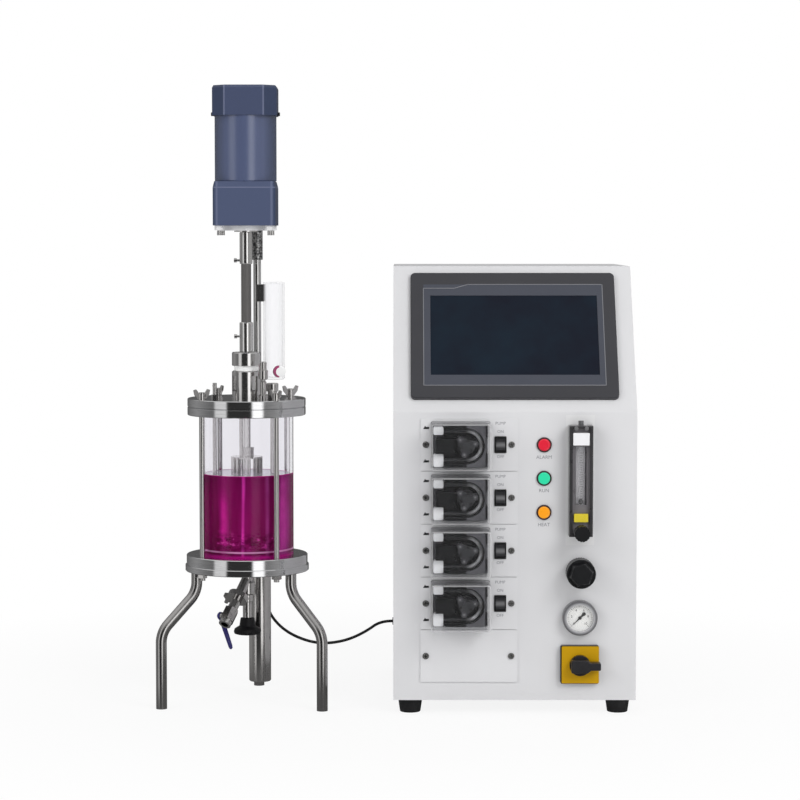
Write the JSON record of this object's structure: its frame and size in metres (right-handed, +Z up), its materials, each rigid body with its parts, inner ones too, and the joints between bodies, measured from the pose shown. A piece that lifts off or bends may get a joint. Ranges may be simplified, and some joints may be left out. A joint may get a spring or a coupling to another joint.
{
  "type": "bench bioreactor",
  "caption": "Bench bioreactor: stirred glass vessel with magenta culture on a steel tripod under a gear motor, cabled to a sloped-panel cabinet with pumps, lamps, flow meter, gauge and switch.",
  "frame": {"origin": "on the bench, under the middle of the outline of vessel and cabinet together", "axes": "+Z up from the bench, -Y towards the operator, +X from the vessel to the cabinet"},
  "size_m": [0.609, 0.395, 0.7933],
  "materials": {
    "cabinet_paint": "fine satin powder coat",
    "foot_rubber": "matte",
    "bezel_plastic": "satin",
    "display_panel": "glossy, switched off",
    "pump_plastic": "satin",
    "pump_hose": "translucent",
    "rotor_plastic": "satin",
    "clear_plastic": "clear",
    "black_plastic": "satin",
    "lamp_rim": "glossy",
    "lamp_lens": "glossy",
    "meter_glass": "clear",
    "steel": "polished stainless",
    "needle_paint": "matte",
    "yellow_plate": "satin",
    "cable_rubber": "matte",
    "vessel_glass": "clear",
    "culture": "clear liquid",
    "motor_paint": "satin"
  },
  "bodies": {
    "main_assembly": {"front_panel": "cabinet_paint", "cabinet_wrap": "cabinet_paint", "cabinet_chassis": "cabinet_paint", "cabinet_feet": "foot_rubber", "hmi_bezel": "bezel_plastic", "hmi_display": "display_panel", "module_plates": "cabinet_paint", "pump_bodies": "pump_plastic", "pump_tubing": "pump_hose", "switch_frames": "black_plastic", "lamp_bezels": "lamp_rim", "lamp_lenses": "lamp_lens", "flow_meter_block": "black_plastic", "flow_meter_tube": "meter_glass", "regulator_body": "black_plastic", "gauge_case": "steel", "gauge_lens": "meter_glass", "switch_base": "black_plastic", "switch_plate": "yellow_plate", "cable_grommet": "black_plastic", "sensor_cable": "cable_rubber", "base_flange": "steel", "glass_cylinder": "vessel_glass", "clamp_ring": "steel", "head_plate": "steel", "tie_rods": "steel", "tripod_legs": "steel", "bearing_housing": "steel", "gearbox": "motor_paint", "motor_body": "motor_paint", "fan_cowl": "motor_paint", "support_column": "steel", "exhaust_trap": "vessel_glass", "dip_tubes": "steel", "head_fittings": "steel", "culture_medium": "culture", "heater_housing": "steel", "harvest_valve": "steel", "drain_branch": "steel"},
    "agitator": {"agitator_shaft": "steel", "impellers": "steel"},
    "pump_rotor_1": {"pump_rotor_1": "rotor_plastic"},
    "pump_rotor_2": {"pump_rotor_2": "rotor_plastic"},
    "pump_rotor_3": {"pump_rotor_3": "rotor_plastic"},
    "pump_rotor_4": {"pump_rotor_4": "rotor_plastic"},
    "pump_cover_1": {"pump_cover_1": "clear_plastic"},
    "pump_cover_2": {"pump_cover_2": "clear_plastic"},
    "pump_cover_3": {"pump_cover_3": "clear_plastic"},
    "pump_cover_4": {"pump_cover_4": "clear_plastic"},
    "rocker_1": {"rocker_1": "black_plastic"},
    "rocker_2": {"rocker_2": "black_plastic"},
    "rocker_3": {"rocker_3": "black_plastic"},
    "rocker_4": {"rocker_4": "black_plastic"},
    "switch_handle": {"switch_handle": "black_plastic"},
    "regulator_knob": {"regulator_knob": "black_plastic"},
    "flow_meter_knob": {"flow_meter_knob": "black_plastic"},
    "flow_float": {"flow_float": "steel"},
    "gauge_needle": {"gauge_needle": "needle_paint"},
    "harvest_handwheel": {"harvest_handwheel": "black_plastic"},
    "ball_valve_lever": {"ball_valve_lever": "motor_paint"}
  },
  "joints": [
    {"name": "agitator_spin", "type": "hinge", "parent": "main_assembly", "child": "agitator", "pos_m": [-0.19052, -0.0575, 0.214], "axis": [0, 0, 1], "continuous": true},
    {"name": "pump_rotor_1_spin", "type": "hinge", "parent": "main_assembly", "child": "pump_rotor_1", "pos_m": [0.08998, -0.1545, 0.3416], "axis": [0, 1, 0], "continuous": true},
    {"name": "pump_rotor_2_spin", "type": "hinge", "parent": "main_assembly", "child": "pump_rotor_2", "pos_m": [0.08998, -0.1545, 0.2748], "axis": [0, 1, 0], "continuous": true},
    {"name": "pump_rotor_3_spin", "type": "hinge", "parent": "main_assembly", "child": "pump_rotor_3", "pos_m": [0.08998, -0.1545, 0.208], "axis": [0, 1, 0], "continuous": true},
    {"name": "pump_rotor_4_spin", "type": "hinge", "parent": "main_assembly", "child": "pump_rotor_4", "pos_m": [0.08998, -0.1545, 0.1412], "axis": [0, 1, 0], "continuous": true},
    {"name": "pump_cover_1_swing", "type": "hinge", "parent": "main_assembly", "child": "pump_cover_1", "pos_m": [0.11758, -0.1575, 0.3416], "axis": [0, 0, 1], "range_deg": [0, 90]},
    {"name": "pump_cover_2_swing", "type": "hinge", "parent": "main_assembly", "child": "pump_cover_2", "pos_m": [0.11758, -0.1575, 0.2748], "axis": [0, 0, 1], "range_deg": [0, 90]},
    {"name": "pump_cover_3_swing", "type": "hinge", "parent": "main_assembly", "child": "pump_cover_3", "pos_m": [0.11758, -0.1575, 0.208], "axis": [0, 0, 1], "range_deg": [0, 90]},
    {"name": "pump_cover_4_swing", "type": "hinge", "parent": "main_assembly", "child": "pump_cover_4", "pos_m": [0.11758, -0.1575, 0.1412], "axis": [0, 0, 1], "range_deg": [0, 90]},
    {"name": "rocker_1_tilt", "type": "hinge", "parent": "main_assembly", "child": "rocker_1", "pos_m": [0.13298, -0.1494, 0.3416], "axis": [1, 0, 0], "range_deg": [0, 18]},
    {"name": "rocker_2_tilt", "type": "hinge", "parent": "main_assembly", "child": "rocker_2", "pos_m": [0.13298, -0.1494, 0.2748], "axis": [1, 0, 0], "range_deg": [0, 18]},
    {"name": "rocker_3_tilt", "type": "hinge", "parent": "main_assembly", "child": "rocker_3", "pos_m": [0.13298, -0.1494, 0.208], "axis": [1, 0, 0], "range_deg": [0, 18]},
    {"name": "rocker_4_tilt", "type": "hinge", "parent": "main_assembly", "child": "rocker_4", "pos_m": [0.13298, -0.1494, 0.1412], "axis": [1, 0, 0], "range_deg": [0, 18]},
    {"name": "main_switch_turn", "type": "hinge", "parent": "main_assembly", "child": "switch_handle", "pos_m": [0.23308, -0.1475, 0.0643], "axis": [0, -1, 0], "range_deg": [0, 90]},
    {"name": "regulator_turn", "type": "hinge", "parent": "main_assembly", "child": "regulator_knob", "pos_m": [0.23308, -0.1475, 0.1817], "axis": [0, -1, 0], "range_deg": [-1080, 1080]},
    {"name": "flow_valve_turn", "type": "hinge", "parent": "main_assembly", "child": "flow_meter_knob", "pos_m": [0.23308, -0.1475, 0.2338], "axis": [0, -1, 0], "range_deg": [-720, 1080]},
    {"name": "float_slide", "type": "slide", "parent": "main_assembly", "child": "flow_float", "axis": [0, 0, 1], "range_m": [0, 0.0656]},
    {"name": "gauge_needle_sweep", "type": "hinge", "parent": "main_assembly", "child": "gauge_needle", "pos_m": [0.23308, -0.1475, 0.1236], "axis": [0, 1, 0], "range_deg": [0, 270], "stiffness_Nm_per_rad": 0.001},
    {"name": "harvest_valve_turn", "type": "hinge", "parent": "main_assembly", "child": "harvest_handwheel", "pos_m": [-0.19052, -0.0575, 0.088], "axis": [0, 0, 1], "range_deg": [0, 1080]},
    {"name": "ball_valve_turn", "type": "hinge", "parent": "main_assembly", "child": "ball_valve_lever", "pos_m": [-0.22203, -0.09086, 0.11645], "axis": [-0.8704, 0.4924, 0], "range_deg": [0, 73.4]}
  ]
}
